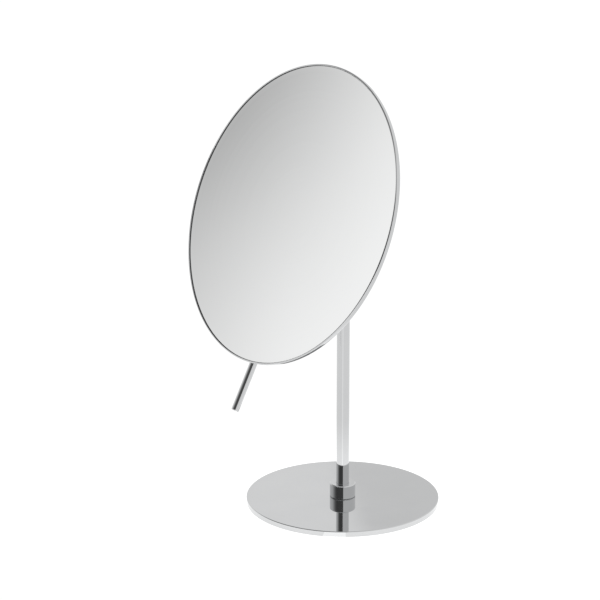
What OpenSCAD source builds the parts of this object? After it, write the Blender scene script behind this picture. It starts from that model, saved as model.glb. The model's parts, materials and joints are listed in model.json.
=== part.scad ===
// Extendable shaving mirror: a round dished mirror on a tilting, swivelling head,
// carried by a telescopic column on a flat round base.
// Millimetres. +Z is up, the origin is on the column's axis where the pad meets the table,
// and the mirror faces -Y. The head is drawn tilted by "tilt" and the column pushed in.

/* [Base] */
// Diameter of the base plate
base_d = 150; // [120:1:200]
// Thickness of the base plate
base_t = 4.5; // [3:0.5:8]
// Rounding of the base plate's two rims
base_round = 0.6; // [0.2:0.1:1.2]
// Thickness of the anti-slip pad under the plate
pad_t = 0.5; // [0.4:0.1:3]
// How far the pad stays inside the plate's edge
pad_inset = 5; // [2:0.5:10]

/* [Base collar] */
// Diameter of the collar that holds the column
collar_d = 20; // [16:0.5:30]
// Height of the collar above the plate
collar_h = 11; // [8:0.5:20]
// Thickness of the collar's floor, under the column's foot
collar_floor = 3.5; // [2.5:0.5:5]
// Chamfer on the collar's rims
collar_chamfer = 0.6; // [0.2:0.1:1]
// Thread diameter of the screw that holds the column to the plate
base_screw_d = 5; // [4:0.5:6]
// Length of that screw's grip in the column's foot
base_screw_grip = 7; // [5:1:9]

/* [Column] */
// Outside diameter of the lower tube
tube_d = 10; // [8:0.5:14]
// Wall of the lower tube
tube_wall = 0.8; // [0.5:0.1:1]
// Height of the tilt pivot above the table, with the column pushed in
pivot_h = 221; // [190:0.5:300]
// How far the column pulls out
travel = 100; // [60:1:120]
// Length of the threaded plug in the tube's foot
plug_len = 12; // [10:1:16]

/* [Height lock] */
// Wall of the split collet between tube and rod
collet_wall = 0.65; // [0.5:0.05:0.8]
// Length of the collet's sleeve inside the tube
collet_len = 16; // [12:1:24]
// Height of the collet's head above the tube
collet_head = 5; // [4:0.5:7]
// Wall of the lock ring round the tube
lock_wall = 2.4; // [1.8:0.1:4]
// Height of the lock ring
lock_h = 14; // [11:0.5:20]
// Number of knurl teeth on the lock ring
knurl_n = 48; // [30:1:60]

/* [Glide on the rod's foot] */
// Height of the glide
glide_h = 10; // [8:0.5:14]
// Section diameter of the glide's friction ring
o_ring_d = 1.2; // [0.8:0.1:1.4]
// Thread diameter of the glide's screw
glide_screw_d = 3; // [2:0.5:3]

/* [Swivel] */
// Diameter of the yoke
yoke_d = 20; // [17:0.5:26]
// Length of the yoke's bearing on the rod
yoke_bearing = 10.9; // [8:0.1:20]
// Diameter of the rod's spigot that the yoke turns on
spigot_d = 6; // [5:0.5:7]
// Wall of the swivel bush
bush_wall = 1; // [0.6:0.1:1.5]
// Thickness of the rod's flange under the yoke
flange_t = 2.5; // [1.5:0.5:4]
// How far the flange stands out from the rod
flange_w = 3; // [2:0.5:4]
// Thickness of the thrust washer
thrust_t = 0.8; // [0.4:0.1:1.5]
// Thread diameter of the swivel screw
swivel_screw_d = 3.5; // [3:0.5:4]

/* [Tilt joint] */
// Angle of the mirror's face above level, as drawn
tilt = 23; // [0:0.5:60]
// Diameter of the eye on the pivot arm
eye_d = 18; // [15:0.5:20]
// Width of the eye
eye_w = 8; // [6:0.5:10]
// Thickness of each friction washer beside the eye
friction_t = 0.8; // [0.4:0.1:1.2]
// Diameter of the pivot screw
pivot_d = 5; // [4:0.5:6]
// Diameter of the pivot screw's head and nut
pivot_head_d = 8.6; // [7.5:0.1:10]
// Distance from the tilt pivot to the plane of the mirror's rim
reach = 57; // [52:0.5:80]
// Diameter of the pivot arm
arm_d = 7.5; // [6:0.5:7.5]

/* [Mirror] */
// Outside diameter of the mirror's rim
head_d = 230; // [180:1:280]
// Radius of the glass's dished face
dish_r = 900; // [700:10:1500]
// Thickness of the glass
glass_t = 1.6; // [1.5:0.1:3]
// Thickness of the rim's front lip
lip_t = 0.7; // [0.5:0.1:1.2]
// Width of the rim's front lip
lip_w = 1.3; // [1.3:0.1:3.5]
// Thickness of the spun back shell
shell_t = 0.6; // [0.5:0.1:1.2]
// Diameter of the flat seat in the middle of the shell
seat_d = 50; // [44:1:60]

/* [Hub and handle] */
// Diameter of the hub's flange
hub_d = 40; // [36:1:44]
// Thickness of the hub's flange
hub_t = 3; // [2.5:0.5:5]
// Diameter of the hub's boss
boss_d = 16; // [14:0.5:20]
// Length of the boss behind the flange
boss_len = 19; // [19:0.5:27]
// Diameter of the handle rod
handle_d = 6; // [5:0.5:8]
// Length from the hub's axis to the handle's free end
handle_len = 154; // [135:1:180]
// Angle at which the handle leans towards the mirror's rim
handle_lean = 4.5; // [0:0.5:6]

/* [Hidden] */
$fn = 96;
dome_steps = 24; // straight steps along a dome's or dish's outline

// Fits. Turning and sliding pieces run with run_clear on the radius; flat faces that rub
// stand rub_gap apart; loose holes are hole_clear larger in radius than what goes through.
run_clear = 0.05;
rub_gap = 0.05;
hole_clear = 0.15;
air_gap = 0.35; // between moving pieces that don't bear on each other
stop_gap = 0.5;
over = 1; // how far a cut runs past the face it opens

// Column diameters, from the outside in
tube_r = tube_d / 2;
tube_in = tube_r - tube_wall;
rod_r = tube_in - collet_wall - run_clear;

// Heights above the table, from the bottom up
plate_top = pad_t + base_t;
collar_top = plate_top + collar_h;
foot_z = plate_top + collar_floor;
screw_sink = 0.2; // the base screw's head lies this far inside the plate

// Heights of the head's joint, from the pivot down
eye_gap = 1;
slot_z = pivot_h - eye_d / 2 - eye_gap;
swivel_head_h = 2.4;
wave_t = 0.6;
recess_z = slot_z - swivel_head_h - wave_t - 0.6;
yoke_z = recess_z - yoke_bearing;
flange_z = yoke_z - thrust_t - flange_t;
lock_top = flange_z - stop_gap;
lock_z = lock_top - lock_h;
lock_lip = 1.7;
lock_play = 0.5;
tube_top = lock_top - lock_lip - lock_play - collet_head;
collet_z = tube_top - collet_len;
rod_foot = collet_z - travel - stop_gap;
spigot_top = recess_z - 0.2;
flange_r = rod_r + flange_w;
spigot_r = spigot_d / 2;
yoke_r = yoke_d / 2;
bush_len = yoke_bearing - 1.2;

// The tilt joint, across the pivot along X
ear_in = eye_w / 2 + friction_t + rub_gap;
ear_seat = yoke_r - 2.4; // where the pivot screw's head and the spring washer bear on the ears
pivot_head_t = 2.6;
spring_t = 0.9;
nut_t = 3.2;

// The mirror, in its own frame: the pivot is the origin and the rim's plane is at z = reach.
// Depths are measured back from that plane.
rim_wall = 0.8;
gasket_t = 0.5;
gasket_show = 0.3; // how far the gasket shows inside the lip
gasket_side = 0.3;
edge_gap = 0.1;
crimp_t = 0.4;
crimp_w = 1.8;
front_round = min(1.4, lip_w - 0.25); // radius of the rim's front, which rolls over into its wall
back_round = 1.4;
shell_flange = 2; // width of the shell's flat rim
head_r = head_d / 2;
glass_r = head_r - rim_wall - gasket_side;
glass_flat = 0.5; // flat ground edge round the dished face
glass_edge = lip_t + gasket_t;
plate_t = 1;
plate_gap = 0.25;
dish_edge = glass_r - glass_flat;
dish_centre = glass_edge - sqrt(dish_r * dish_r - dish_edge * dish_edge); // in front of the rim
seat_in = glass_back(0) + plate_gap + plate_t;
seat_out = seat_in + shell_t;
shell_r = head_r - rim_wall - run_clear;
dome_r = shell_r - shell_flange;
shell_edge = glass_back(dome_r) + edge_gap + shell_t; // depth of the shell's outside at its rim
rim_depth = shell_edge + crimp_t;
// The shell's dome goes through the inside of its flat rim and the edge of its flat seat.
shell_ball = ball_through(dome_r, shell_edge, seat_d / 2, seat_out);
shell_centre = shell_edge - sqrt(shell_ball * shell_ball - dome_r * dome_r);

// The hub and what screws into it
hub_end = seat_out + hub_t + boss_len;
boss_r = boss_d / 2;
handle_r = handle_d / 2;
handle_gap = 4.4; // from the flange to the handle's side, on the hub's axis
handle_depth = seat_out + hub_t + handle_gap + handle_r;
ferrule_r = handle_r + 1.5;
ferrule_len = 5;
ferrule_seat = boss_r - 1;
stud_r = arm_d / 2 - 0.75;
stud_len = 7;
handle_stud_r = 2;
handle_stud_end = 4.3; // the handle's stud stops this far from the hub's axis
set_screw_r = 1.5;
hub_screw_r = 1.5;
hub_screw_circle = 14;
hub_screw_n = 3;

// Depth of the glass's back at the distance c off the axis.
function glass_back(c) = dish_centre + sqrt(pow(dish_r + glass_t, 2) - c * c);

// Radius of the sphere that passes through (r1, depth z1) and (r2, depth z2), centred on the axis.
function ball_through(r1, z1, r2, z2) =
    let (c = (r1 * r1 - r2 * r2 + z1 * z1 - z2 * z2) / (2 * (z1 - z2)))
    sqrt(r1 * r1 + (z1 - c) * (z1 - c));

// Outline points on the back of a ball of radius r, from the distance c0 to c1 off the axis.
// The ball's centre is at the depth z, and the points stand "front" in front of it.
function dome(r, z, c0, c1, front = 0) =
    [for (i = [0:dome_steps])
        let (c = c0 + (c1 - c0) * i / dome_steps) [c, front - z - sqrt(r * r - c * c)]];

// Points of an arc of radius r round [x, y], from angle a0 to a1.
function arc(x, y, r, a0, a1, steps = 6) =
    [for (i = [0:steps]) let (a = a0 + (a1 - a0) * i / steps) [x + r * cos(a), y + r * sin(a)]];

// ---- helpers

// A solid of revolution from [radius, height] points.
module lathe(points) {
    rotate_extrude() polygon(points);
}

// A ring between two radii, from z0 to z1.
module ring(r_in, r_out, z0, z1) {
    difference() {
        translate([0, 0, z0]) cylinder(r = r_out, h = z1 - z0);
        translate([0, 0, z0 - over]) cylinder(r = r_in, h = z1 - z0 + 2 * over);
    }
}

// A rod from z0 to z1 with chamfers c0 and c1 on its two ends.
module rod(r, z0, z1, c0 = 0, c1 = 0) {
    lathe([[0, z0], [r - c0, z0], [r, z0 + c0], [r, z1 - c1], [r - c1, z1], [0, z1]]);
}

// A six-sided key socket, opening at z0 and going towards -Z.
module socket(across, depth) {
    translate([0, 0, -depth]) cylinder(d = across / cos(30), h = depth + over, $fn = 6);
}

// Turns +Z to +X, for the pieces on the tilt pivot.
module on_pivot() {
    translate([0, 0, pivot_h]) rotate([0, 90, 0]) children();
}

// The mirror's own frame: the pivot is the origin and +Z is the way the mirror faces.
module on_head() {
    translate([0, 0, pivot_h]) rotate([90 - tilt, 0, 0]) children();
}

// The handle's frame, within the mirror's: its axis is +Z, from the hub's axis outwards.
module on_handle() {
    translate([0, 0, reach - handle_depth]) rotate([90 - handle_lean, 0, 0]) children();
}

// The same module at each of the hub's screw places.
module at_hub_screws() {
    for (i = [0:hub_screw_n - 1]) rotate([0, 0, 90 + i * 360 / hub_screw_n])
        translate([hub_screw_circle, 0, 0]) children();
}

// ---- base

// Flat round plate with rounded rims and a countersunk hole for the column's screw.
module base_plate() color("silver") difference() {
    lathe(concat(
        [[0, pad_t]],
        arc(base_d / 2 - base_round, pad_t + base_round, base_round, -90, 0),
        arc(base_d / 2 - base_round, plate_top - base_round, base_round, 0, 90),
        [[0, plate_top]]));
    translate([0, 0, pad_t]) countersink(base_screw_d / 2 + hole_clear, screw_sink, base_t);
}

// Hole of radius r through a wall, with a 90 degree countersink for a head twice the hole.
module countersink(r, sink, wall) {
    translate([0, 0, -over]) cylinder(r = r, h = wall + 2 * over);
    translate([0, 0, -over]) cylinder(r = 2 * r, h = over + sink);
    translate([0, 0, sink]) cylinder(r1 = 2 * r, r2 = r, h = r);
}

module base_pad() color("dimgray")
    rod(base_d / 2 - pad_inset, 0, pad_t);

module base_collar() color("silver") difference() {
    rod(collar_d / 2, plate_top, collar_top, collar_chamfer, collar_chamfer);
    translate([0, 0, foot_z]) cylinder(r = tube_r, h = collar_h);
    translate([0, 0, plate_top - over]) cylinder(r = base_screw_d / 2 + hole_clear, h = collar_h);
}

module base_screw() color("gray") {
    r = base_screw_d / 2;
    z = pad_t + screw_sink;
    tip = foot_z + base_screw_grip;
    difference() {
        lathe([[0, z], [2 * r, z], [r, z + r], [r, tip - 0.5], [r - 0.5, tip], [0, tip]]);
        translate([0, 0, z]) mirror([0, 0, 1]) socket(0.6 * base_screw_d, 0.5 * base_screw_d);
    }
}

module foot_plug() color("goldenrod") difference() {
    rod(tube_in, foot_z, foot_z + plug_len, 0, 0.5);
    translate([0, 0, foot_z - over]) cylinder(r = base_screw_d / 2, h = base_screw_grip + 2 * over);
}

module lower_tube() color("silver")
    ring(tube_in, tube_r, foot_z, tube_top);

// Split sleeve in the tube's mouth. The lock ring's cone squeezes its head onto the rod.
module collet() color("white") {
    head_r0 = tube_r + run_clear - air_gap;
    slit_w = 0.8;
    slit_foot = tube_top - collet_len / 2;
    difference() {
        lathe([
            [rod_r + run_clear, collet_z], [tube_in, collet_z], [tube_in, tube_top],
            [head_r0, tube_top], [head_r0, tube_top + collet_head / 2],
            [head_r0 - 0.6, tube_top + collet_head], [rod_r + run_clear, tube_top + collet_head]]);
        for (a = [0, 90]) rotate([0, 0, a])
            translate([-tube_d, -slit_w / 2, slit_foot])
                cube([2 * tube_d, slit_w, tube_top + collet_head + over - slit_foot]);
    }
}

// ---- height lock

// Knurled ring that screws on the tube's top. Turning it closes the collet.
module lock_ring() color("silver") {
    r = tube_r + run_clear + lock_wall;
    bore = tube_r + run_clear;
    tooth = 0.35;
    chamfer = 0.6;
    band = 2; // plain band above and below the knurl
    cone_z = tube_top + collet_head / 2 + air_gap;
    lip_z = lock_top - lock_lip;
    lip_bore = rod_r + air_gap;
    difference() {
        union() {
            rod(r, lock_z, lock_z + band, chamfer, 0);
            translate([0, 0, lock_z + band]) linear_extrude(lock_h - 2 * band)
                polygon([for (i = [0:2 * knurl_n - 1])
                    let (a = i * 180 / knurl_n, k = r - 0.05 - (i % 2) * tooth) [k * cos(a), k * sin(a)]]);
            rod(r, lock_top - band, lock_top, 0, chamfer);
        }
        lathe([[0, lock_z - over], [bore, lock_z - over], [bore, cone_z],
            [bore - 0.6, lip_z], [lip_bore, lip_z], [lip_bore, lock_top + over], [0, lock_top + over]]);
    }
}

// ---- upper column

// Sliding rod, with a flange and a spigot on top for the yoke.
module upper_rod() color("silver") difference() {
    lathe([
        [0, rod_foot], [rod_r - 0.3, rod_foot], [rod_r, rod_foot + 0.3], [rod_r, flange_z],
        [flange_r - 0.4, flange_z], [flange_r, flange_z + 0.4],
        [flange_r, flange_z + flange_t - 0.3], [flange_r - 0.3, flange_z + flange_t],
        [spigot_r, flange_z + flange_t], [spigot_r, spigot_top], [0, spigot_top]]);
    translate([0, 0, spigot_top - 9]) cylinder(r = swivel_screw_d / 2, h = 9 + over);
    translate([0, 0, rod_foot - over]) cylinder(r = glide_screw_d / 2, h = 9 + over);
}

// Plastic runner under the rod, with a groove for the friction ring.
module glide() color("white") {
    r = tube_in - run_clear;
    z = rod_foot - glide_h;
    groove_z = z + glide_h / 2;
    difference() {
        rod(r, z, rod_foot, 0.4, 0.4);
        translate([0, 0, groove_z]) ring(r - o_ring_d, r + over, -o_ring_d / 2 - 0.1, o_ring_d / 2 + 0.1);
        translate([0, 0, z - over]) cylinder(r = glide_screw_d / 2 + hole_clear, h = glide_h + 2 * over);
    }
}

module glide_o_ring() color("black")
    translate([0, 0, rod_foot - glide_h / 2]) rotate_extrude()
        translate([tube_in - run_clear - o_ring_d / 2, 0]) circle(d = o_ring_d, $fn = 32);

module glide_screw() color("gray") {
    head_h = 0.6 * glide_screw_d;
    z = rod_foot - glide_h;
    difference() {
        union() {
            rod(glide_screw_d * 0.95, z - head_h, z, 0.4, 0);
            translate([0, 0, z]) cylinder(r = glide_screw_d / 2, h = glide_h + 6);
        }
        translate([0, 0, z - head_h]) mirror([0, 0, 1]) socket(0.6 * glide_screw_d, 0.3 * glide_screw_d);
    }
}

module thrust_washer() color("white")
    ring(spigot_r + run_clear, flange_r, flange_z + flange_t, yoke_z - rub_gap);

module swivel_screw() color("gray") {
    z = recess_z + wave_t;
    difference() {
        union() {
            rod(swivel_screw_d, z, z + swivel_head_h, 0, 0.4);
            rod(swivel_screw_d / 2, spigot_top - 8, z + over / 2, 0.4, 0);
        }
        translate([0, 0, z + swivel_head_h]) socket(0.6 * swivel_screw_d, 1.2);
    }
}

module wave_washer() color("silver")
    ring(swivel_screw_d / 2 + hole_clear, swivel_screw_d + 0.7, recess_z + rub_gap, recess_z + wave_t);

// ---- yoke: turns on the rod's spigot and carries the tilt pivot

module swivel_yoke() color("silver") {
    chamfer = 2.4;
    difference() {
        lathe(concat(
            [[0, yoke_z], [yoke_r - chamfer, yoke_z], [yoke_r, yoke_z + chamfer]],
            arc(0, pivot_h, yoke_r, 0, 90, 16)));
        // slot for the eye
        translate([-ear_in, -yoke_d, slot_z]) cube([2 * ear_in, 2 * yoke_d, yoke_d * 2]);
        // bearing for the bush, and the recess for the swivel screw
        translate([0, 0, yoke_z - over])
            cylinder(r = spigot_r + run_clear + bush_wall, h = bush_len + over);
        translate([0, 0, yoke_z - over]) cylinder(r = spigot_r + run_clear, h = yoke_bearing + 2 * over);
        translate([0, 0, recess_z]) cylinder(r = swivel_screw_d + 1.2, h = slot_z - recess_z + over);
        // pivot hole with a seat on each ear
        on_pivot() {
            translate([0, 0, -yoke_d]) cylinder(r = pivot_d / 2, h = 2 * yoke_d);
            for (side = [0, 1]) mirror([0, 0, side])
                translate([0, 0, ear_seat]) cylinder(r = pivot_head_d / 2 + hole_clear, h = yoke_r);
        }
    }
}

module swivel_bush() color("white")
    ring(spigot_r + run_clear, spigot_r + run_clear + bush_wall, yoke_z, yoke_z + bush_len);

module pivot_screw() color("silver") on_pivot() difference() {
    union() {
        translate([0, 0, -ear_seat - pivot_head_t]) rod(pivot_head_d / 2, 0, pivot_head_t, 0.5, 0);
        translate([0, 0, -ear_seat]) rod(pivot_d / 2, 0, 2 * ear_seat + spring_t + nut_t - 0.8, 0, 0.4);
    }
    translate([0, 0, -ear_seat - pivot_head_t]) mirror([0, 0, 1]) socket(0.6 * pivot_d, 1.6);
}

// Round nut on the end of the pivot screw, with two notches for a pin spanner.
module pivot_nut() color("silver") on_pivot() difference() {
    translate([0, 0, ear_seat + spring_t]) rod(pivot_head_d / 2, 0, nut_t, 0, 0.5);
    translate([0, 0, ear_seat]) cylinder(r = pivot_d / 2, h = spring_t + nut_t - 0.6);
    for (a = [0, 180]) rotate([0, 0, a])
        translate([pivot_head_d / 2 - 1.2, -0.6, ear_seat + spring_t + nut_t - 1]) cube([2, 1.2, 2]);
}

module spring_washer() color("gray") on_pivot()
    ring(pivot_d / 2, pivot_head_d / 2 - 0.1, ear_seat, ear_seat + spring_t);

module friction_washers() color("saddlebrown") on_pivot()
    for (side = [0, 1]) mirror([0, 0, side])
        ring(pivot_d / 2, eye_d / 2 - 1, eye_w / 2 + rub_gap, ear_in);

// ---- mirror head

// Arm with an eye on the tilt pivot and a threaded stud into the hub.
module pivot_arm() color("silver") on_head() {
    hub_z = reach - hub_end;
    difference() {
        union() {
            rotate([0, 90, 0]) translate([0, 0, -eye_w / 2]) rod(eye_d / 2, 0, eye_w, 0.3, 0.3);
            cylinder(r = arm_d / 2, h = hub_z);
            translate([0, 0, hub_z - over]) cylinder(r = stud_r, h = stud_len + over);
        }
        rotate([0, 90, 0]) cylinder(r = pivot_d / 2 + run_clear, h = 2 * eye_w, center = true);
    }
}

module mirror_hub() color("silver") on_head() {
    front = reach - seat_out;
    back = reach - hub_end;
    fillet = 2;
    difference() {
        lathe(concat(
            [[0, back], [boss_r - 0.6, back], [boss_r, back + 0.6]],
            arc(boss_r + fillet, front - hub_t - fillet, fillet, 180, 90),
            arc(hub_d / 2 - 1, front - hub_t + 1, 1, -90, 0),
            [[hub_d / 2, front], [0, front]]));
        translate([0, 0, back - over]) cylinder(r = stud_r, h = stud_len + over + 0.5);
        on_handle() {
            translate([0, 0, handle_stud_end - 0.3]) cylinder(r = handle_stud_r, h = boss_d);
            translate([0, 0, ferrule_seat]) cylinder(r = ferrule_r + hole_clear, h = boss_d);
        }
        translate([0, 0, set_screw_z()]) rotate([-90, 0, 0]) cylinder(r = set_screw_r, h = boss_d);
        translate([0, 0, front - hub_t + 0.5]) at_hub_screws() cylinder(r = hub_screw_r, h = hub_t);
    }
}

// Height of the set screw that keeps the arm from turning in the hub.
function set_screw_z() = reach - hub_end + stud_len / 2;

module arm_set_screw() color("gray") on_head()
    translate([0, 0, set_screw_z()]) rotate([-90, 0, 0]) difference() {
        translate([0, 0, stud_r]) cylinder(r = set_screw_r, h = boss_r - stud_r - 0.4);
        translate([0, 0, boss_r - 0.4]) socket(1.5, 1.5);
    }

module handle_rod() color("silver") on_head() on_handle() {
    translate([0, 0, handle_stud_end]) cylinder(r = handle_stud_r, h = ferrule_seat - handle_stud_end + over);
    rod(handle_r, ferrule_seat, handle_len, 0, 0.5);
}

module handle_ferrule() color("silver") on_head() on_handle() difference() {
    rod(ferrule_r, ferrule_seat, ferrule_seat + ferrule_len, 0, 0.7);
    translate([0, 0, ferrule_seat - over]) cylinder(r = handle_r, h = ferrule_len + 2 * over);
}

// Thin domed back of the mirror, with a flat seat for the hub and a flat rim.
module back_shell() color("silver") on_head() difference() {
    translate([0, 0, reach]) lathe(concat(
        [[0, -seat_out]],
        dome(shell_ball, shell_centre, seat_d / 2, dome_r),
        [[shell_r, -shell_edge], [shell_r, shell_t - shell_edge]],
        dome(shell_ball, shell_centre, dome_r, seat_d / 2, shell_t),
        [[0, -seat_in]]));
    hub_screw_holes();
}

// Holes and countersinks for the hub's screws, from inside the shell.
module hub_screw_holes() {
    head_z = reach - seat_in + plate_t;
    hole_h = over + shell_t + plate_t / 2;
    at_hub_screws() {
        translate([0, 0, reach - seat_out - over]) cylinder(r = hub_screw_r, h = hole_h);
        translate([0, 0, head_z - hub_screw_r])
            cylinder(r1 = hub_screw_r, r2 = 2 * hub_screw_r + over, h = hub_screw_r + over);
    }
}

module backing_plate() color("gray") on_head() difference() {
    translate([0, 0, reach - seat_in]) cylinder(r = seat_d / 2 - 3, h = plate_t);
    hub_screw_holes();
}

module hub_screws() color("gray") on_head() {
    head_z = reach - seat_in + plate_t;
    tip_z = reach - seat_out - hub_t + 0.7;
    at_hub_screws() difference() {
        lathe([[0, tip_z], [hub_screw_r, tip_z], [hub_screw_r, head_z - hub_screw_r],
            [2 * hub_screw_r, head_z], [0, head_z]]);
        translate([0, 0, head_z]) socket(1.8, 0.9);
    }
}

// Foam that bears on the glass's back, filling the narrow gap in front of the shell.
module foam_ring() color("dimgray") on_head() {
    skin = 0.02; // the adhesive on both its faces
    r_in = seat_d / 2 + 2;
    r_out = 0.75 * glass_r;
    translate([0, 0, reach]) lathe(concat(
        dome(shell_ball, shell_centre, r_in, r_out, shell_t + skin),
        dome(dish_r + glass_t, dish_centre, r_out, r_in, -skin)));
}

module mirror_glass() color("lightcyan") on_head()
    translate([0, 0, reach]) lathe(concat(
        dome(dish_r, dish_centre, 0, dish_edge),
        [[glass_r, -glass_edge]],
        dome(dish_r + glass_t, dish_centre, glass_r, 0)));

// Rubber angle between the glass's edge and the rim.
module glass_gasket() color("black") on_head() {
    show_r = head_r - lip_w - gasket_show;
    wall_r = head_r - rim_wall;
    translate([0, 0, reach]) lathe([
        [show_r, -lip_t], [show_r, -glass_edge], [glass_r, -glass_edge],
        [glass_r, -glass_edge - glass_t], [wall_r, -glass_edge - glass_t], [wall_r, -lip_t]]);
}

// Rim of channel section that is rolled round the glass, the gasket and the shell.
module front_bezel() color("silver") on_head() {
    wall_r = head_r - rim_wall;
    translate([0, 0, reach]) lathe(concat(
        [[head_r - lip_w, -lip_t], [head_r - lip_w, -0.2], [head_r - lip_w + 0.2, 0]],
        arc(head_r - front_round, -front_round, front_round, 90, 0),
        arc(head_r - back_round, -rim_depth + back_round, back_round, 0, -90),
        [[head_r - crimp_w, -rim_depth], [head_r - crimp_w, -shell_edge],
            [wall_r, -shell_edge], [wall_r, -lip_t]]));
}

base_plate();
base_pad();
base_collar();
base_screw();
foot_plug();
lower_tube();
collet();
lock_ring();
upper_rod();
glide();
glide_o_ring();
glide_screw();
thrust_washer();
swivel_screw();
wave_washer();
swivel_yoke();
swivel_bush();
pivot_screw();
pivot_nut();
spring_washer();
friction_washers();
pivot_arm();
arm_set_screw();
mirror_hub();
hub_screws();
handle_rod();
handle_ferrule();
back_shell();
backing_plate();
foam_ring();
mirror_glass();
glass_gasket();
front_bezel();
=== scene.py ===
"""Looks of the pedestal shaving mirror: polished chrome, a silvered dished mirror and a plain white studio.

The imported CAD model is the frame. Each turned piece is turned again here from its CAD node's own outline,
with a fine mesh, softened corners and true normals, and stands for that node. The yoke, the pivot arm and
the hub are turned, joined and carved. Lengths are in metres. +Z is up, the mirror faces -Y, and the tilt
pivot lies along X.
"""

import json
import math

import bmesh
import bpy
import numpy as np
from mathutils import Matrix, Vector


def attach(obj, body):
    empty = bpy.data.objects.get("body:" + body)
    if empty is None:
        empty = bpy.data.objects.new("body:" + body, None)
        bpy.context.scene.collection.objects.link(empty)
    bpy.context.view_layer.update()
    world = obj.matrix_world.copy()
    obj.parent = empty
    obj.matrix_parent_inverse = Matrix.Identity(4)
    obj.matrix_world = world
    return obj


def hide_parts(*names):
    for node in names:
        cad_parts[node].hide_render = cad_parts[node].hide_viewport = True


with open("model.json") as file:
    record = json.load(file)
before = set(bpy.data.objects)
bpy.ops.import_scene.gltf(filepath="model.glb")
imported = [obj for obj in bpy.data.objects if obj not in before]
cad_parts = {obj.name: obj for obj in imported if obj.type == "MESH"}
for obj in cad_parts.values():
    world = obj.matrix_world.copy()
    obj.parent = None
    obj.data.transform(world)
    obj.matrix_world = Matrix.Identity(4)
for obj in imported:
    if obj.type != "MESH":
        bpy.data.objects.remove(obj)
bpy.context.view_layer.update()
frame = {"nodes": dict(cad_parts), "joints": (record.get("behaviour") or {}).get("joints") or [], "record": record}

MM = 0.001
TILT = math.radians(23)  # how far the mirror leans back at rest
HANDLE_LEAN = math.radians(4.5)  # how far the handle leans towards the mirror's plane
PIVOT = next(Vector(joint["pos_m"]) for joint in frame["joints"] if joint["name"] == "head_tilt")

# Frames that pieces are turned in: the column's, the mirror head's (+Z is the way the mirror faces)
# and the tilt pivot's (+Z is the row's +X).
COLUMN = Matrix.Identity(4)
HEAD = Matrix.Translation(PIVOT) @ Matrix.Rotation(math.pi / 2 - TILT, 4, "X")
PIN = Matrix.Translation(PIVOT) @ Matrix.Rotation(math.pi / 2, 4, "Y")

EYE_RADIUS = 9 * MM  # of the pivot arm's eye
SEAT_GAP = 0.15 * MM  # round the pivot's head and nut in the yoke, and round the ferrule in the hub

KNURL_TEETH = 48  # diamonds round the lock ring
KNURL_STEPS = 8  # mesh sides, and rows, per diamond
KNURL_PITCH = 1 * MM  # height of a diamond
KNURL_DEPTH = 0.3 * MM
PLAIN_BAND = 2 * MM  # above and below the knurl
RING_CHAMFER = 0.6 * MM

FINE = 384  # sides of a wide turned piece
PLAIN = 128  # sides of a slim one
SMOOTH_BELOW = math.radians(35)  # two stretches of an outline meet smoothly below this angle
HAIR = 0.001 * MM  # the smallest distance that counts
CORNER_REACH = 0.12 * MM  # how far a cut point may lie from the CAD corner that it stands for


# ---- measuring the CAD nodes


def node_points(node, into):
    """The CAD node's corners as an array, seen from the frame "into"."""
    mesh = frame["nodes"][node].data
    flat = np.empty(len(mesh.vertices) * 3)
    mesh.vertices.foreach_get("co", flat)
    back = np.array(into.inverted())
    return flat.reshape(-1, 3) @ back[:3, :3].T + back[:3, 3]


def height_range(node, into):
    """The lowest and highest height of a CAD node in a frame."""
    heights = node_points(node, into)[:, 2]
    return heights.min(), heights.max()


def outer_radius(node, into):
    """The largest radius of a CAD node about the frame's Z axis."""
    points = node_points(node, into)
    return np.hypot(points[:, 0], points[:, 1]).max()


def handle_frame():
    """The handle's frame: +Z runs along the rod towards its free end."""
    middle = Vector(node_points("handle_rod", HEAD).mean(axis=0))
    return HEAD @ Matrix.Translation(middle) @ Matrix.Rotation(math.pi / 2 - HANDLE_LEAN, 4, "X")


HANDLE = handle_frame()


def cad_outline(node, into):
    """(radius, height) points round the section of a turned CAD node, in order, counter-clockwise.

    Each point of the section is moved to the nearest true corner of the CAD mesh, so that the chords of
    that mesh take nothing off the radius.
    """
    corners = node_points(node, into)
    corners = np.stack([np.hypot(corners[:, 0], corners[:, 1]), corners[:, 2]], axis=1)
    points = []
    for point in cut_section(node, into):
        gaps = np.hypot(*(corners - point).T)
        near = corners[gaps.argmin()] if gaps.min() < CORNER_REACH else point
        if near[0] < HAIR:
            near = np.array((0, near[1]))
        if not points or np.hypot(*(near - points[-1])) > 2 * HAIR:
            points.append(near)
    if np.hypot(*(points[0] - points[-1])) < 2 * HAIR:
        points.pop()
    return counter_clockwise(without_straight_points(points))


def cut_section(node, into, angle=math.radians(30)):
    """(radius, height) points in order where a half-plane at one angle round the Z axis cuts a CAD node."""
    cut = bmesh.new()
    cut.from_mesh(frame["nodes"][node].data)
    bmesh.ops.transform(cut, matrix=into.inverted(), verts=cut.verts)
    bmesh.ops.remove_doubles(cut, verts=cut.verts, dist=0.1 * HAIR)
    outward = Vector((math.cos(angle), math.sin(angle), 0))
    across = Vector((-outward.y, outward.x, 0))
    everything = cut.verts[:] + cut.edges[:] + cut.faces[:]
    found = bmesh.ops.bisect_plane(cut, geom=everything, plane_co=(0, 0, 0), plane_no=across, dist=1e-8)
    edges = [g for g in found["geom_cut"] if isinstance(g, bmesh.types.BMEdge)]
    edges = [e for e in edges if all(v.co @ outward > -0.1 * HAIR for v in e.verts)]
    section = np.array([(max(v.co @ outward, 0), v.co.z) for v in chained(edges)])
    cut.free()
    return section


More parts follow.
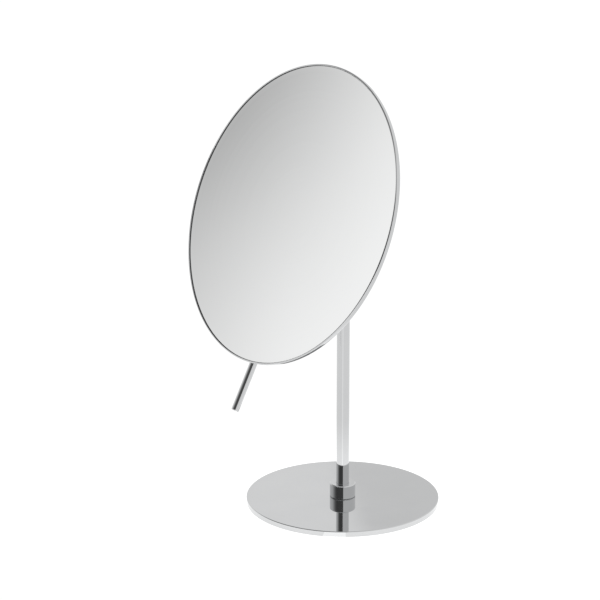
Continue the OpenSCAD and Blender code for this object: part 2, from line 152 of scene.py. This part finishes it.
def chained(edges):
    """The vertices along a chain of edges, from an end if the chain has one."""
    joined = {}
    for edge in edges:
        for vert in edge.verts:
            joined.setdefault(vert, []).append(edge)
    ends = [vert for vert in joined if len(joined[vert]) == 1]
    here = ends[0] if ends else next(iter(joined))
    path = [here]
    used = set()
    while True:
        onward = [edge for edge in joined[here] if edge not in used]
        if not onward:
            return path
        used.add(onward[0])
        here = onward[0].other_vert(here)
        path.append(here)


def without_straight_points(points, flat=0.5 * HAIR):
    """Drops the points that lie on the line between their neighbours."""
    kept = []
    for i, point in enumerate(points):
        before, after = points[i - 1], points[(i + 1) % len(points)]
        line = after - before
        away = abs(line[0] * (point - before)[1] - line[1] * (point - before)[0])
        on_axis_end = point[0] == 0
        if on_axis_end or away / max(np.hypot(*line), 1e-12) > flat:
            kept.append(point)
    return kept


def counter_clockwise(points):
    """The outline in the order that leaves the solid on its left."""
    area = sum(a[0] * b[1] - b[0] * a[1] for a, b in zip(points, points[1:] + points[:1]))
    return points if area > 0 else points[::-1]


# ---- building meshes


def arc(centre_r, centre_z, radius, start, end, steps):
    """Points of an arc in an outline, from the angle start to end, in degrees."""
    angles = np.radians(np.linspace(start, end, steps + 1))
    return [np.array((centre_r + radius * math.cos(a), centre_z + radius * math.sin(a))) for a in angles]


def softened(outline, radius, steps=5):
    """The outline with a curve in place of each sharp corner, as wide as its two sides leave room for."""
    result = []
    for i, corner in enumerate(outline):
        before, after = outline[i - 1] - corner, outline[(i + 1) % len(outline)] - corner
        room = min(np.hypot(*before), np.hypot(*after))
        cosine = np.clip(before @ after / (np.hypot(*before) * np.hypot(*after)), -1, 1)
        half = math.acos(cosine) / 2
        if corner[0] == 0 or math.pi - 2 * half < SMOOTH_BELOW:
            result.append(corner)
            continue
        back_off = min(radius / math.tan(half), 0.45 * room)
        start = corner + before / np.hypot(*before) * back_off
        end = corner + after / np.hypot(*after) * back_off
        for t in np.linspace(0, 1, steps + 1):
            result.append((1 - t) ** 2 * start + 2 * t * (1 - t) * corner + t * t * end)
    return result


def outline_normals(outline):
    """Per stretch of the outline, its normal at its start and at its end. Gentle corners share one."""
    points = np.array(outline)
    steps = np.roll(points, -1, axis=0) - points
    lengths = np.hypot(steps[:, 0], steps[:, 1])
    own = np.stack([steps[:, 1], -steps[:, 0]], axis=1) / np.maximum(lengths, 1e-12)[:, None]
    starts, ends = own.copy(), own.copy()
    for i in range(len(points)):
        if own[i - 1] @ own[i] > math.cos(SMOOTH_BELOW) and points[i][0] > 0:
            shared = own[i - 1] * lengths[i - 1] + own[i] * lengths[i]
            starts[i] = ends[i - 1] = shared / np.hypot(*shared)
    return starts, ends


def turned_mesh(name, outline, into, sides, own_normals=True):
    """A mesh of the outline turned about the frame's Z axis, with its own normals if they are wanted."""
    angles = np.linspace(0, 2 * math.pi, sides, endpoint=False)
    spin = np.stack([np.cos(angles), np.sin(angles)], axis=1)
    verts, rings = ring_vertices(outline, spin)
    faces, normals = ring_faces(outline, rings, spin)
    matrix = np.array(into)
    verts = np.array(verts) @ matrix[:3, :3].T + matrix[:3, 3]
    normals = np.array(normals) @ matrix[:3, :3].T
    mesh = bpy.data.meshes.new(name)
    mesh.from_pydata(verts.tolist(), [], faces)
    mesh.shade_smooth()
    if own_normals:
        mesh.normals_split_custom_set(normals.tolist())
    return mesh


def ring_vertices(outline, spin):
    """The vertices, a ring for each outline point or one vertex on the axis, and each ring's numbers."""
    verts, rings = [], []
    for radius, height in outline:
        ring_spin = spin if radius > 0 else spin[:1]
        rings.append(range(len(verts), len(verts) + len(ring_spin)))
        verts.extend((radius * c, radius * s, height) for c, s in ring_spin)
    return verts, rings


def ring_faces(outline, rings, spin):
    """The faces between each ring and the next, and a normal for each corner of them."""
    faces, normals = [], []
    starts, ends = outline_normals(outline)
    for i, ring in enumerate(rings):
        other = rings[(i + 1) % len(rings)]
        if len(ring) == 1 and len(other) == 1:
            continue
        for j in range(len(spin)):
            k = (j + 1) % len(spin)
            corners = [(ring, j, starts[i]), (ring, k, starts[i]), (other, k, ends[i]), (other, j, ends[i])]
            if len(ring) == 1:
                corners.pop(1)
            if len(other) == 1:
                corners.pop(-1)
            faces.append([r[at if len(r) > 1 else 0] for r, at, _ in corners])
            normals.extend((n[0] * spin[at][0], n[0] * spin[at][1], n[1]) for _, at, n in corners)
    return faces, normals


def new_object(name, mesh):
    """A new object of the mesh, in the scene."""
    obj = bpy.data.objects.new(name, mesh)
    bpy.context.scene.collection.objects.link(obj)
    return obj


def body_of_node(node):
    """The name of the moving body that the CAD node belongs to."""
    bodies = frame["record"]["behaviour"]["bodies"]
    return next(body for body, members in bodies.items() if node in members)


def slot_of_node(node):
    """The material slot that the record gives the CAD node."""
    return next(part["material_slot"] for part in frame["record"]["subparts"] if part["node"] == node)


def stands_for(obj, node):
    """obj is shown in place of the CAD node, moves with its body and has its finish."""
    obj.data.materials.clear()
    obj.data.materials.append(FINISHES[slot_of_node(node)])
    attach(obj, body_of_node(node))
    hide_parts(node)


def turn_again(node, into, soften, sides=PLAIN):
    """Turns a CAD node's own outline again with softened corners."""
    outline = softened(cad_outline(node, into), soften)
    stands_for(new_object(node + "_turned", turned_mesh(node, outline, into, sides)), node)


def combined(obj, others, operation):
    """Joins the other objects into obj, or cuts them out of it, and takes them away."""
    for other in others:
        modifier = obj.modifiers.new(operation.lower(), "BOOLEAN")
        modifier.operation = operation
        modifier.solver = "EXACT"
        modifier.object = other
    apply_modifiers(obj)
    for other in others:
        bpy.data.objects.remove(other)
    return obj


def apply_modifiers(obj):
    """Puts the mesh that the object's modifiers make in place of its own."""
    graph = bpy.context.evaluated_depsgraph_get()
    mesh = bpy.data.meshes.new_from_object(obj.evaluated_get(graph))
    obj.modifiers.clear()
    obj.data = mesh


def edge_softened(obj, *turned_about, width):
    """Rounds a joined or carved piece's edges and evens out its shading round the frames' Z axes."""
    bevel = obj.modifiers.new("edges", "BEVEL")
    bevel.width = width
    bevel.segments = 3
    bevel.limit_method = "ANGLE"
    bevel.angle_limit = SMOOTH_BELOW
    bevel.use_clamp_overlap = True
    obj.modifiers.new("shading", "WEIGHTED_NORMAL")
    apply_modifiers(obj)
    even_out_shading(obj.data, turned_about)
    return obj


def even_out_shading(mesh, turned_about, most_lean=0.03):
    """Takes the sideways lean out of the normals of the faces turned about one of the frames' Z axes."""
    normals = [normal.vector.copy() for normal in mesh.corner_normals]
    for face in mesh.polygons:
        for into in turned_about:
            sideways = [around(mesh.vertices[i].co, into) for i in face.vertices]
            if all(abs(face.normal @ direction) < most_lean for direction in sideways):
                for corner, direction in zip(face.loop_indices, sideways):
                    level = normals[corner] - direction * (normals[corner] @ direction)
                    normals[corner] = level.normalized()
                break
    mesh.normals_split_custom_set(normals)


def around(point, into):
    """The direction round the frame's Z axis at a point."""
    axis = into.col[2].to_3d()
    direction = axis.cross(point - into.translation)
    return direction.normalized()


def rod_object(name, into, radius, low, high, soften=0, sides=64):
    """A plain rod along the frame's Z axis, to join or to cut with."""
    outline = [np.array(p) for p in ((0, low), (radius, low), (radius, high), (0, high))]
    outline = softened(outline, soften) if soften else outline
    return new_object(name, turned_mesh(name, outline, into, sides, own_normals=False))


def block_object(name, low, high):
    """A block between two corners in the row frame, to cut with."""
    cut = bmesh.new()
    bmesh.ops.create_cube(cut, size=1)
    low, high = Vector(low), Vector(high)
    for vert in cut.verts:
        vert.co = Vector((vert.co[i] + 0.5) * (high[i] - low[i]) + low[i] for i in range(3))
    mesh = bpy.data.meshes.new(name)
    cut.to_mesh(mesh)
    cut.free()
    return new_object(name, mesh)


# ---- finishes


def shader_tree(name):
    """A new node material and its tree, with only the Principled shader and the output."""
    material = bpy.data.materials.new(name)
    material.use_nodes = True
    return material, material.node_tree


def noise(tree, scale):
    """A noise value over the object's own coordinates. The scale is per metre."""
    place = tree.nodes.new("ShaderNodeTexCoord")
    pattern = tree.nodes.new("ShaderNodeTexNoise")
    pattern.inputs["Scale"].default_value = scale
    pattern.inputs["Detail"].default_value = 3
    tree.links.new(place.outputs["Object"], pattern.inputs["Vector"])
    return pattern.outputs["Fac"]


def spread(tree, value, low, high):
    """The noise value's middle part stretched to run from low to high."""
    spreader = tree.nodes.new("ShaderNodeMapRange")
    spreader.inputs["From Min"].default_value = 0.3
    spreader.inputs["From Max"].default_value = 0.7
    spreader.inputs["To Min"].default_value = low
    spreader.inputs["To Max"].default_value = high
    tree.links.new(value, spreader.inputs["Value"])
    return spreader.outputs["Result"]


def tinted(tree, value, first, second):
    """A colour that runs from first to second with the noise value."""
    mix = tree.nodes.new("ShaderNodeMix")
    mix.data_type = "RGBA"
    mix.inputs["A"].default_value = (*first, 1)
    mix.inputs["B"].default_value = (*second, 1)
    tree.links.new(spread(tree, value, 0, 1), mix.inputs["Factor"])
    return mix.outputs["Result"]


def bumped(tree, value, height, strength):
    """A bump from a noise value, height metres deep."""
    bump = tree.nodes.new("ShaderNodeBump")
    bump.inputs["Strength"].default_value = strength
    bump.inputs["Distance"].default_value = height
    tree.links.new(value, bump.inputs["Height"])
    return bump.outputs["Normal"]


def finish(name, colours, roughness, metallic, scales, bump):
    """A finish whose colour, roughness and bump each vary with their own noise.

    scales are the scales of the three noises, and bump is the bump's height in metres and its strength.
    """
    colour_scale, rough_scale, bump_scale = scales
    material, tree = shader_tree(name)
    shader = tree.nodes["Principled BSDF"]
    shader.inputs["Metallic"].default_value = metallic
    links = tree.links
    links.new(tinted(tree, noise(tree, colour_scale), *colours), shader.inputs["Base Color"])
    links.new(spread(tree, noise(tree, rough_scale), *roughness), shader.inputs["Roughness"])
    links.new(bumped(tree, noise(tree, bump_scale), *bump), shader.inputs["Normal"])
    return material


def polished_chrome():
    """Bright plating with a faint polish haze and the slightest ripple."""
    return finish("polished_chrome", ((0.575, 0.580, 0.585), (0.555, 0.561, 0.566)),
                  roughness=(0.02, 0.055), metallic=1, scales=(25, 60, 90), bump=(0.02 * MM, 0.02))


def mirror_face():
    """Silvered glass, with hardly any haze."""
    return finish("mirror_face", ((0.900, 0.905, 0.903), (0.890, 0.896, 0.895)),
                  roughness=(0.004, 0.016), metallic=1, scales=(12, 30, 20), bump=(0.01 * MM, 0.01))


def plain_steel():
    """Unplated grey steel, as the hidden screws and washers have."""
    return finish("plain_steel", ((0.46, 0.47, 0.48), (0.36, 0.37, 0.38)),
                  roughness=(0.26, 0.42), metallic=1, scales=(300, 700, 900), bump=(0.03 * MM, 0.25))


def plug_brass():
    """Turned brass that has dulled a little."""
    return finish("plug_brass", ((0.66, 0.47, 0.20), (0.52, 0.36, 0.15)),
                  roughness=(0.22, 0.4), metallic=1, scales=(200, 500, 900), bump=(0.03 * MM, 0.25))


def nylon():
    """Off-white bearing nylon."""
    return finish("nylon", ((0.78, 0.77, 0.72), (0.70, 0.69, 0.64)),
                  roughness=(0.42, 0.58), metallic=0, scales=(250, 500, 1200), bump=(0.03 * MM, 0.3))


def brown_fibre():
    """Pressed brown fibre, with a coarse grain."""
    return finish("brown_fibre", ((0.15, 0.075, 0.04), (0.08, 0.04, 0.022)),
                  roughness=(0.6, 0.8), metallic=0, scales=(900, 900, 2500), bump=(0.05 * MM, 0.5))


def black_rubber():
    """Black rubber, a little grey with wear."""
    return finish("black_rubber", ((0.060, 0.060, 0.062), (0.040, 0.040, 0.042)),
                  roughness=(0.5, 0.7), metallic=0, scales=(400, 700, 2500), bump=(0.04 * MM, 0.4))


def pad_rubber():
    """Matt rubber with a deeper grain, to grip a shelf."""
    return finish("pad_rubber", ((0.030, 0.030, 0.032), (0.018, 0.018, 0.019)),
                  roughness=(0.75, 0.92), metallic=0, scales=(600, 900, 1800), bump=(0.12 * MM, 0.7))


def foam():
    """Dark grey foam with open pores."""
    return finish("foam", ((0.11, 0.11, 0.115), (0.07, 0.07, 0.075)),
                  roughness=(0.85, 0.97), metallic=0, scales=(900, 900, 2500), bump=(0.2 * MM, 0.8))


def white_floor():
    """A pale light table: it scatters some light and gives off the rest, so that shadows on it stay faint.

    It glows more under the base and along a streak towards the camera, which the column reflects.
    """
    material = finish("white_floor", ((0.30, 0.30, 0.30), (0.29, 0.29, 0.29)),
                      roughness=(0.75, 0.9), metallic=0, scales=(2, 5, 60), bump=(0.1 * MM, 0.1))
    tree = material.node_tree
    shader = tree.nodes["Principled BSDF"]
    shader.inputs["Specular IOR Level"].default_value = 0
    shader.inputs["Emission Color"].default_value = (1, 1, 1, 1)
    place = tree.nodes.new("ShaderNodeTexCoord").outputs["Object"]
    glow = combined_values(tree, "MULTIPLY", streak_glow(tree, place), near_glow(tree, place))
    tree.links.new(glow, shader.inputs["Emission Strength"])
    return material


def streak_glow(tree, place):
    """The floor's glow by heading from the column, strongest in the streak."""
    streak_azimuth = math.radians(47)
    half_width = math.radians(7)
    glow_outside = 0.85
    glow_inside = 1.06
    axes = tree.nodes.new("ShaderNodeSeparateXYZ")
    tree.links.new(place, axes.inputs["Vector"])
    heading = combined_values(tree, "ARCTAN2", axes.outputs["X"], axes.outputs["Y"])
    in_streak = tree.nodes.new("ShaderNodeMath")
    in_streak.operation = "COMPARE"
    in_streak.inputs[1].default_value = math.pi - streak_azimuth  # headings count from +Y towards +X
    in_streak.inputs[2].default_value = half_width
    tree.links.new(heading, in_streak.inputs[0])
    return eased(tree, in_streak.outputs["Value"], 0, 1, glow_outside, glow_inside)


def near_glow(tree, place):
    """The floor's glow by distance from the column, strongest under the base."""
    full_until = 0.08
    gone_from = 0.2
    extra_glow = 1.3
    distance = tree.nodes.new("ShaderNodeVectorMath")
    distance.operation = "LENGTH"
    tree.links.new(place, distance.inputs[0])
    return eased(tree, distance.outputs["Value"], full_until, gone_from, extra_glow, 1)


FINISHES = {make.__name__: make() for make in (
    polished_chrome, mirror_face, plain_steel, plug_brass, nylon,
    brown_fibre, black_rubber, pad_rubber, foam)}


def dress_cad_nodes():
    """Gives every CAD node its finish."""
    for node, obj in frame["nodes"].items():
        obj.data.materials.clear()
        obj.data.materials.append(FINISHES[slot_of_node(node)])


# ---- the object's pieces


def base_pieces():
    """The weighted base and what stands on it or holds it, up to the fixed tube."""
    turn_again("base_plate", COLUMN, soften=0.35 * MM, sides=FINE)
    turn_again("base_pad", COLUMN, soften=0.2 * MM, sides=FINE)
    turn_again("base_collar", COLUMN, soften=0.25 * MM)
    turn_again("lower_tube", COLUMN, soften=0.15 * MM)
    turn_again("foot_plug", COLUMN, soften=0.1 * MM)


def upper_column_pieces():
    """The sliding rod and the slim rings on it."""
    turn_again("upper_rod", COLUMN, soften=0.25 * MM)
    turn_again("glide", COLUMN, soften=0.15 * MM)
    turn_again("thrust_washer", COLUMN, soften=0.1 * MM)
    turn_again("wave_washer", COLUMN, soften=0.1 * MM)


def head_pieces():
    """The handle and the mirror's layers, from the back forwards."""
    turn_again("handle_rod", HANDLE, soften=0.3 * MM)
    turn_again("handle_ferrule", HANDLE, soften=0.3 * MM)
    turn_again("back_shell", HEAD, soften=0.3 * MM, sides=FINE)
    turn_again("backing_plate", HEAD, soften=0.1 * MM)
    turn_again("foam_ring", HEAD, soften=0.1 * MM, sides=FINE)
    turn_again("mirror_glass", HEAD, soften=0.15 * MM, sides=FINE)
    turn_again("glass_gasket", HEAD, soften=0.1 * MM, sides=FINE)
    turn_again("front_bezel", HEAD, soften=0.2 * MM, sides=FINE)


def lock_ring_piece():
    """The lock ring with a fine diamond knurl between its plain bands."""
    low, high = height_range("lock_ring", COLUMN)
    radius = outer_radius("lock_ring", COLUMN)
    knurl_low = low + PLAIN_BAND
    knurl_high = high - PLAIN_BAND
    outline = lock_ring_outline(low, high, radius)
    below = max(i for i, p in enumerate(outline) if p[0] > radius - HAIR and p[1] < knurl_low + HAIR)
    rows = round((high - low - 2 * PLAIN_BAND) / KNURL_PITCH) * KNURL_STEPS
    heights = np.linspace(knurl_low, knurl_high, rows + 1)[1:-1]
    outline[below + 1:below + 1] = [np.array((radius, height)) for height in heights]
    mesh = turned_mesh("lock_ring", outline, COLUMN, KNURL_TEETH * KNURL_STEPS, own_normals=False)
    for vert in mesh.vertices:
        outside = math.hypot(vert.co.x, vert.co.y) > radius - HAIR
        if outside and knurl_low + HAIR < vert.co.z < knurl_high - HAIR:
            scale = 1 - KNURL_DEPTH * off_ridge(vert.co, knurl_low) / radius
            vert.co.x *= scale
            vert.co.y *= scale
    mesh.set_sharp_from_angle(angle=SMOOTH_BELOW)
    stands_for(new_object("lock_ring_knurled", mesh), "lock_ring")


def lock_ring_outline(low, high, radius):
    """The CAD ring's bore side and a plain chamfered outer side, with softened corners."""
    bore_side = [p for p in cad_outline("lock_ring", COLUMN) if p[0] < radius - 1.5 * RING_CHAMFER]
    # The bore side starts at its highest corner, and at the outermost of those at one height.
    top_outermost = max(range(len(bore_side)), key=lambda i: bore_side[i][1] + bore_side[i][0] * 0.01)
    bore_side = bore_side[top_outermost:] + bore_side[:top_outermost]
    outer_side = [(radius - RING_CHAMFER, low), (radius, low + RING_CHAMFER), (radius, low + PLAIN_BAND),
                  (radius, high - PLAIN_BAND), (radius, high - RING_CHAMFER), (radius - RING_CHAMFER, high)]
    return softened(bore_side + [np.array(p) for p in outer_side], radius=0.12 * MM)


def off_ridge(point, knurl_low):
    """How far a point of the knurl is off the diamond's ridges: 0 on one, 1 in the deepest place."""
    turn = math.atan2(point.y, point.x) / (2 * math.pi) * KNURL_TEETH
    rise = (point.z - knurl_low) / KNURL_PITCH
    return 1 - 2 * max(abs((turn + rise) % 1 - 0.5), abs((turn - rise) % 1 - 0.5))


def yoke_piece():
    """The yoke: turned, slotted for the eye and bored for the pivot and the swivel."""
    mesh = turned_mesh("swivel_yoke", yoke_outline(), COLUMN, FINE, own_normals=False)
    yoke = combined(new_object("yoke_carved", mesh), yoke_cuts(), "DIFFERENCE")
    stands_for(edge_softened(yoke, COLUMN, PIN, width=0.2 * MM), "swivel_yoke")


def yoke_outline():
    """The yoke's outline before it is carved: a chamfered foot, and a top rounded about the pivot."""
    radius = outer_radius("swivel_yoke", COLUMN)
    bottom = height_range("swivel_yoke", COLUMN)[0]
    chamfer = 2.4 * MM
    foot = [np.array(p) for p in ((0, bottom), (radius - chamfer, bottom), (radius, bottom + chamfer))]
    return foot + arc(0, PIVOT.z, radius, 0, 90, 24)[:-1] + [np.array((0, PIVOT.z + radius))]


def yoke_cuts():
    """What is carved out of the yoke: the eye's slot, and the swivel's and the pivot's bores and seats."""
    eye_gap = 1 * MM  # under the eye
    recess_radius = 4.7 * MM
    recess_gap = 0.05 * MM  # under the wave washer
    pivot_radius = 2.5 * MM
    reach = 2 * outer_radius("swivel_yoke", COLUMN)
    below = height_range("swivel_yoke", COLUMN)[0] - reach
    slot_half = height_range("friction_washers", PIN)[1]
    slot_floor = PIVOT.z - EYE_RADIUS - eye_gap
    recess_floor = height_range("wave_washer", COLUMN)[0] - recess_gap
    bush_top = height_range("swivel_bush", COLUMN)[1]
    seat = height_range("spring_washer", PIN)[0]
    seat_radius = outer_radius("pivot_nut", PIN) + SEAT_GAP
    return [
        block_object("slot", (-slot_half, -reach, slot_floor), (slot_half, reach, PIVOT.z + reach)),
        rod_object("recess", COLUMN, recess_radius, recess_floor, PIVOT.z),
        rod_object("bush_bore", COLUMN, outer_radius("swivel_bush", COLUMN), below, bush_top),
        rod_object("pivot_bore", PIN, pivot_radius, -reach, reach),
        rod_object("head_seat", PIN, seat_radius, -reach, -seat),
        rod_object("nut_seat", PIN, seat_radius, seat, reach)]


def arm_piece():
    """The pivot arm: an eye round the pivot and a stem that runs into the hub."""
    eye_half = 4 * MM
    stem_radius = 3.75 * MM
    stem_in_hub = 1 * MM
    bore_radius = 2.55 * MM
    stem_end = height_range("mirror_hub", HEAD)[0] + stem_in_hub
    eye = rod_object("arm_joined", PIN, EYE_RADIUS, -eye_half, eye_half, soften=0.3 * MM, sides=FINE)
    stem = rod_object("stem", HEAD, stem_radius, 0, stem_end, sides=FINE)
    bore = rod_object("bore", PIN, bore_radius, -2 * eye_half, 2 * eye_half)
    arm = combined(combined(eye, [stem], "UNION"), [bore], "DIFFERENCE")
    stands_for(edge_softened(arm, PIN, HEAD, width=0.15 * MM), "pivot_arm")


def hub_piece():
    """The hub, turned, with the handle's pocket and the set screw's hole carved in its boss."""
    screw_radius = 1.5 * MM
    past_boss = 15 * MM
    mesh = turned_mesh("mirror_hub", cad_outline("mirror_hub", HEAD), HEAD, FINE, own_normals=False)
    pocket_floor = height_range("handle_ferrule", HANDLE)[0]
    pocket_radius = outer_radius("handle_ferrule", HANDLE) + SEAT_GAP
    screw = Vector(node_points("arm_set_screw", HEAD).mean(axis=0))
    upward = HEAD @ Matrix.Translation((0, 0, screw.z)) @ Matrix.Rotation(-math.pi / 2, 4, "X")
    cuts = [
        rod_object("pocket", HANDLE, pocket_radius, pocket_floor, pocket_floor + past_boss),
        rod_object("screw_hole", upward, screw_radius, 0, past_boss)]
    hub = combined(new_object("hub_carved", mesh), cuts, "DIFFERENCE")
    stands_for(edge_softened(hub, HEAD, HANDLE, width=0.12 * MM), "mirror_hub")


# ---- the studio


def studio_floor():
    """A wide round pale floor, just under the pad."""
    radius = 12
    top = -0.2 * MM
    bottom = -0.05
    outline = [np.array(p) for p in ((0, bottom), (radius, bottom), (radius, top), (0, top))]
    floor = new_object("studio_floor", turned_mesh("studio_floor", outline, COLUMN, sides=256))
    floor.data.materials.append(white_floor())


def studio_world():
    """A white room with soft dark patches, named from the object: the widest lies low in front of the mirror.

    A second one beside it ends sharply where a flag stands next to the camera, a third is high up on the
    left, and a faint one behind greys the right half of what the base plate shows.
    """
    world = bpy.data.worlds.new("studio")
    bpy.context.scene.world = world
    world.use_nodes = True
    tree = world.node_tree
    direction = tree.nodes.new("ShaderNodeTexCoord").outputs["Generated"]
    low = patch(tree, direction, at=(8, -20), inside=38.5, outside=79.5, level=0.08, surround=0.98)
    beside = patch(tree, direction, at=(28, 8), inside=30, outside=48, level=0.1)
    high = patch(tree, direction, at=(-60, 66), inside=20, outside=52, level=0.25)
    behind = patch(tree, direction, at=(-138, 18), inside=9.6, outside=10.1, level=0.84)
    past_the_flag = eased(tree, along(tree, direction, 148, 0), -0.03, 0.03, 0, 1)
    low = combined_values(tree, "MINIMUM", low, beside)
    low = combined_values(tree, "MAXIMUM", low, past_the_flag)
    light = combined_values(tree, "MULTIPLY", low, high)
    light = combined_values(tree, "MULTIPLY", light, behind)
    tree.links.new(light, tree.nodes["Background"].inputs["Color"])


def along(tree, direction, azimuth, elevation):
    """Cosine of the angle between the direction and the one given in degrees."""
    facing = tree.nodes.new("ShaderNodeVectorMath")
    facing.operation = "DOT_PRODUCT"
    facing.inputs[1].default_value = towards(azimuth, elevation)
    tree.links.new(direction, facing.inputs[0])
    return facing.outputs["Value"]


def towards(azimuth, elevation):
    """The direction of an azimuth and elevation in degrees, as views are named."""
    azimuth, elevation = math.radians(azimuth), math.radians(elevation)
    return Vector((math.sin(azimuth) * math.cos(elevation), -math.cos(azimuth) * math.cos(elevation),
                   math.sin(elevation)))


def patch(tree, direction, at, inside, outside, level, surround=1):
    """A round soft patch of one level in a surround of another, its place and radii in degrees."""
    angle = combined_values(tree, "ARCCOSINE", along(tree, direction, *at))
    return eased(tree, angle, math.radians(inside), math.radians(outside), level, surround)


def combined_values(tree, operation, *values):
    """The result of a Math node on one or two values."""
    node = tree.nodes.new("ShaderNodeMath")
    node.operation = operation
    for value, socket in zip(values, node.inputs):
        tree.links.new(value, socket)
    return node.outputs["Value"]


def eased(tree, value, start, end, low, high):
    """low up to start, high from end, with a smooth step between."""
    step = tree.nodes.new("ShaderNodeMapRange")
    step.interpolation_type = "SMOOTHSTEP"
    step.inputs["From Min"].default_value = start
    step.inputs["From Max"].default_value = end
    step.inputs["To Min"].default_value = low
    step.inputs["To Max"].default_value = high
    tree.links.new(value, step.inputs["Value"])
    return step.outputs["Result"]


def camera():
    """A long lens from the front right, looking a little down."""
    azimuth = 52.78  # in degrees, as is the elevation
    elevation = 17.8
    distance = 2.25
    aim_right = -33.2 * MM  # from the column's axis, as the camera sees it
    aim_height = 165.1 * MM
    data = bpy.data.cameras.new("camera")
    data.lens = 176.7
    data.sensor_width = 36
    data.clip_start = 0.05
    data.clip_end = 60
    obj = bpy.data.objects.new("camera", data)
    bpy.context.scene.collection.objects.link(obj)
    right = towards(azimuth + 90, 0)
    back = towards(azimuth, elevation)
    obj.location = right * aim_right + Vector((0, 0, aim_height)) + back * distance
    obj.rotation_mode = "QUATERNION"
    obj.rotation_quaternion = back.to_track_quat("Z", "Y")
    bpy.context.scene.camera = obj


dress_cad_nodes()
base_pieces()
lock_ring_piece()
upper_column_pieces()
yoke_piece()
arm_piece()
hub_piece()
head_pieces()
studio_floor()
studio_world()
camera()
bpy.context.scene.view_settings.view_transform = "Standard"
